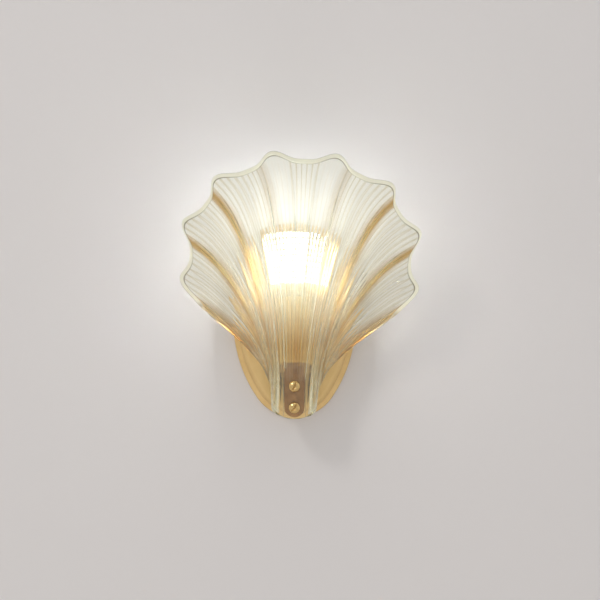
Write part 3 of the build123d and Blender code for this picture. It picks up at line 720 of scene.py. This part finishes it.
def bent(corners, radius, steps=6):
    """A path of straight runs whose corners are arcs. Corners are (depth, height) pairs."""
    path = [Vector(corners[0])]
    for a, b, c in zip(corners, corners[1:], corners[2:]):
        a, b, c = Vector(a), Vector(b), Vector(c)
        into, out = (a - b).normalized(), (c - b).normalized()
        half = into.angle(out) / 2
        centre = b + (into + out).normalized() * radius / math.sin(half)
        start, end = b + into * radius / math.tan(half), b + out * radius / math.tan(half)
        turn = (end - centre).angle_signed(start - centre)
        for i in range(steps + 1):
            path.append(centre + Matrix.Rotation(turn * i / steps, 2) @ (start - centre))
    return path + [Vector(corners[-1])]


def strip(path, width):
    """A flat sheet that follows a path in the plane of depth and height."""
    bm = bmesh.new()
    verts = [bm.verts.new((-width / 2, -p.x, p.y)) for p in path]
    edges = [bm.edges.new(pair) for pair in zip(verts, verts[1:])]
    geom = bmesh.ops.extrude_edge_only(bm, edges=edges)["geom"]
    bmesh.ops.translate(bm, verts=verts_of(geom), vec=(width, 0, 0))
    return bm


strap_path = bent([(plate_depth, foot_end), (plate_depth, strap_top), (tab_front, strap_top),
                   (tab_front, tab_screws[1] - strap_w / 2)], strap_bend + strap_t)
strap_bm = strip(strap_path, strap_w)
for height, cut in ((strap_path[-1].y, strap_w / 2 - tip_left), (foot_end, foot_corner)):
    ends = [v for v in strap_bm.verts if abs(v.co.z - height) < 0.01]
    bmesh.ops.bevel(strap_bm, geom=ends, offset=cut, segments=10, profile=0.5,
                    affect="VERTICES", material=-1)
bmesh.ops.solidify(strap_bm, geom=strap_bm.faces[:], thickness=strap_t)
round_off(strap_bm, sharp_edges(strap_bm, 50), strap_ease, 3)
piece(moved(strap_bm, Matrix.Scale(mm, 4)), "strap_bar", "fixture", strap_brass, ["strap"])

# %% [markdown]
# ## The screws
#
# Two round-head brass screws hold the glass and are the brightest small things on the light.
# A head is lathe-turned. Its slot is cut as a saw cuts it: the dome is split along both sides
# of the slot and at its floor, the strip between is taken out, and walls and a floor are put
# in. The thread is the same lathe work, drawn in along a helix.

# %% Model the screws
screw_seat, m6_r, m6_head_r, m6_head_h, m6_length = 63.8, 3.0, 6.0, 4.2, 18.0
thread_pitch, thread_deep = 1.0, 0.55   # the depth is a share of the pitch
rings_a_pitch, dome_step = 5, 9         # rings of the shank for each pitch, and degrees of the dome
dome_foot = 0.2                         # share of the head's height that is its straight side
slot_half, slot_floor = 0.14, 0.5       # shares of the head's radius and of its height
slot_turns = (62, 55)                   # how the two slots stand in the photograph, in degrees
on_plane = 1e-4
facing_room = Matrix.Rotation(math.radians(90), 4, "X")


def slotted(bm, half_w, floor):
    """Cuts a slot for a screwdriver along X, down to this height."""
    sideways, upward = (0, 1, 0), (0, 0, 1)
    cuts = (((0, half_w, 0), sideways), ((0, -half_w, 0), sideways), ((0, 0, floor), upward))
    for place, normal in cuts:
        whole = bm.verts[:] + bm.edges[:] + bm.faces[:]
        bmesh.ops.bisect_plane(bm, geom=whole, plane_co=place, plane_no=normal)
    centres = {face: face.calc_center_median() for face in bm.faces}
    cut_out = [face for face, centre in centres.items() if centre.z > floor and abs(centre.y) < half_w]
    bmesh.ops.delete(bm, geom=cut_out, context="FACES")
    sides = [e for e in bm.edges
             if e.is_boundary and all(abs(abs(v.co.y) - half_w) < on_plane for v in e.verts)]
    for vert in verts_of(bmesh.ops.extrude_edge_only(bm, edges=sides)["geom"]):
        vert.co.z = floor
    bmesh.ops.remove_doubles(bm, verts=bm.verts, dist=on_plane)
    bmesh.ops.holes_fill(bm, edges=[e for e in bm.edges if e.is_boundary])


def threaded(bm, radius, low, high, pitch, deep):
    """Draws the skin of a rod in along a helix, fading at both ends of the thread."""
    for vert in bm.verts:
        around, z = math.hypot(vert.co.x, vert.co.y), vert.co.z
        if abs(around - radius) < 1e-3 and low < z < high:
            phase = (z / pitch - math.atan2(vert.co.y, vert.co.x) / math.tau) % 1.0
            fade = min(1.0, (z - low) / pitch, (high - z) / pitch)
            drawn = 1 - deep * fade * (1 - math.cos(math.tau * phase)) / (2 * radius)
            vert.co.x, vert.co.y = vert.co.x * drawn, vert.co.y * drawn


def screw(radius, length, head_r, head_h, pitch):
    """A slotted round-head screw about Z, its head standing on the plane Z = 0."""
    point, neck, head_ease = 0.4, 0.2, 0.25     # chamfer at the end, plain neck, eased edge below
    rings = int(length / pitch * rings_a_pitch)
    thread_low, thread_high = -length + point, -neck
    shank = [(radius, thread_low + (length - point - neck) * i / rings) for i in range(rings + 1)]
    climbs = [math.radians(t) for t in range(0, 90, dome_step)]
    dome = [(head_r * math.cos(t), head_h * (dome_foot + (1 - dome_foot) * math.sin(t))) for t in climbs]
    bm = turned([(0, -length), (radius - point, -length), *shank, (radius, 0),
                 (head_r - head_ease, 0), *dome, (0, head_h)], 48)
    threaded(bm, radius, thread_low, thread_high, pitch, thread_deep * pitch)
    slotted(bm, slot_half * head_r, slot_floor * head_h)
    slot_edges = [e for e in sharp_edges(bm, 40) if e.verts[0].co.z > slot_floor * head_h]
    round_off(bm, slot_edges, 0.02 * head_r, 2)
    return bm


shell_screws = []
for height, slot_turn in zip(tab_screws, slot_turns):
    spun = facing_room @ Matrix.Rotation(math.radians(slot_turn), 4, "Z")
    place = Matrix.Scale(mm, 4) @ Matrix.Translation((0, -screw_seat, height)) @ spun
    shell_screws.append(moved(screw(m6_r, m6_length, m6_head_r, m6_head_h, thread_pitch), place))
piece(joined(shell_screws), "round_head_screws", "fixture", screw_brass, ["shell_screws"])

# %% [markdown]
# ## Finishes for the CAD nodes
#
# The pieces that need no finer shape keep their CAD meshes and are given their finishes here.

# %% CAD nodes
kept = {
    "wall_bar": zinc_steel, "plate_screws": screw_brass, "strap_screws": screw_brass,
    "strap_nuts": nut_brass, "shell_pad": pad_rubber, "shell_washers": fibre,
    "shell_nuts": nut_brass, "holder_cup": cup_brass,
    "holder_body": porcelain, "holder_sleeve": thread_brass, "holder_tongue": thread_brass,
    "holder_posts": thread_brass, "nipple": nut_brass, "nipple_nuts": nut_brass,
    "lamp_cap": cap_nickel, "lamp_glaze": cap_glaze, "lamp_eyelet": tinned,
    "lamp_collar": lamp_white, "lamp_column": board_white, "lamp_chips": chip_light,
    "lamp_lid": lid_glow, "cable_bush": fibre, "terminal_block": terminal_plastic,
    "block_screws": zinc_steel, "block_fixing": zinc_steel, "wire_live": wire_brown,
    "wire_neutral": wire_blue, "earth_tag": tinned, "wire_earth": wire_earth,
}
for name, material in kept.items():
    nodes[name].data.materials.clear()
    nodes[name].data.materials.append(material)
print("given a finish:", len(kept))

# %% [markdown]
# ## The wall and the floor
#
# The light hangs on a pale, warm-grey wall. The wall is a plane just behind the backplate,
# with an oval opening behind the plate's hollow, and its paint is clear from behind, so that
# the back of the light can be looked at. The floor is far below and only closes the room.

# %% Wall and floor
wall_inset, wall_gap, wall_spread = 3.0, 0.6, 40    # the opening, the gap behind the plate, the size
floor_half, floor_z = 2.5, -1.1


def see_through_behind(name, colour, other, scale):
    """A matt paint that is clear from behind."""
    finish = Finish(name)
    slow = finish.noise(scale, 2.0)
    paint = finish.node("ShaderNodeBsdfPrincipled", None, {
        "Base Color": finish.mix(slow, colour, other), "Roughness": 1.0, "Specular IOR Level": 0.0})
    behind = finish.node("ShaderNodeNewGeometry", output="Backfacing")
    return finish.end(finish.blend(behind, paint, finish.node("ShaderNodeBsdfTransparent")))


def stage_plane(name, bm, material, facing):
    """A flat piece of the stage, its front turned this way."""
    bm.normal_update()
    bmesh.ops.reverse_faces(bm, faces=[f for f in bm.faces if f.normal.dot(facing) < 0])
    mesh = bpy.data.meshes.new(name)
    bm.to_mesh(mesh)
    bm.free()
    made = bpy.data.objects.new(name, mesh)
    bpy.context.scene.collection.objects.link(made)
    mesh.materials.append(material)
    print("stage:", name)


wall_paint = see_through_behind("wall_paint", (0.80, 0.765, 0.745), (0.79, 0.76, 0.74), 0.6)
floor_paint = see_through_behind("floor_paint", (0.80, 0.785, 0.77), (0.78, 0.765, 0.75), 0.8)
wall_bm = bmesh.new()
oval_ring(wall_bm, wall_inset, -wall_gap)
outer = bmesh.ops.extrude_edge_only(wall_bm, edges=wall_bm.edges[:])["geom"]
bmesh.ops.scale(wall_bm, vec=(wall_spread, 1, wall_spread), verts=verts_of(outer))
stage_plane("wall", wall_bm, wall_paint, Vector((0, -1, 0)))
floor_bm = bmesh.new()
bmesh.ops.create_grid(floor_bm, x_segments=1, y_segments=1, size=floor_half)
floor_place = Matrix.Translation((0, -floor_half, floor_z))
stage_plane("floor", moved(floor_bm, floor_place), floor_paint, Vector((0, 0, 1)))

# %% [markdown]
# ## The light in the room
#
# The room is a pale world, a little darker towards the viewer, with a large soft lamp high on
# the left and a weak one below that stands for light coming back off the floor. They are set
# so that a colour comes out about as it is written, and the lit lamp adds its halo on top.

# %% World and lights
room_front, room_back, room_strength = (0.05, 0.68), (0.55, 0.80), 0.92   # place and grey

world = bpy.data.worlds.new("room")
bpy.context.scene.world = world
world.use_nodes = True
world_nodes, world_links = world.node_tree.nodes, world.node_tree.links
spot = world_nodes.new("ShaderNodeTexCoord")
split = world_nodes.new("ShaderNodeSeparateXYZ")
shade = world_nodes.new("ShaderNodeValToRGB")
for stop, (place, grey) in zip(shade.color_ramp.elements, (room_front, room_back)):
    stop.position, stop.color = place, (grey, grey, grey * 1.01, 1.0)
lift = world_nodes.new("ShaderNodeMath")
lift.operation = "MULTIPLY_ADD"         # a direction runs from -1 to 1, a ramp from 0 to 1
lift.inputs[1].default_value, lift.inputs[2].default_value = 0.5, 0.5
world_links.new(spot.outputs["Generated"], split.inputs[0])
world_links.new(split.outputs["Y"], lift.inputs[0])
world_links.new(lift.outputs[0], shade.inputs[0])
world_links.new(shade.outputs[0], world_nodes["Background"].inputs["Color"])
world_nodes["Background"].inputs["Strength"].default_value = room_strength


def soft_light(name, place, aim, size, power, colour):
    """A round, soft lamp that is turned to what it lights."""
    made = bpy.data.objects.new(name, bpy.data.lights.new(name, "AREA"))
    made.data.shape, made.data.size, made.data.energy, made.data.color = "DISK", size, power, colour
    made.location = place
    made.rotation_euler = (Vector(aim) - Vector(place)).to_track_quat("-Z", "Y").to_euler()
    bpy.context.scene.collection.objects.link(made)


soft_light("window", (-1.6, -2.2, 1.8), (0, 0, 0), 0.6, 14.0, (1.0, 0.98, 0.96))
soft_light("bounce", (0.0, -1.6, -1.0), (0, 0, -0.4), 1.2, 2.2, (1.0, 0.93, 0.91))
bpy.context.scene.view_settings.view_transform = "Standard"
print("lights:", [made.name for made in bpy.data.lights])
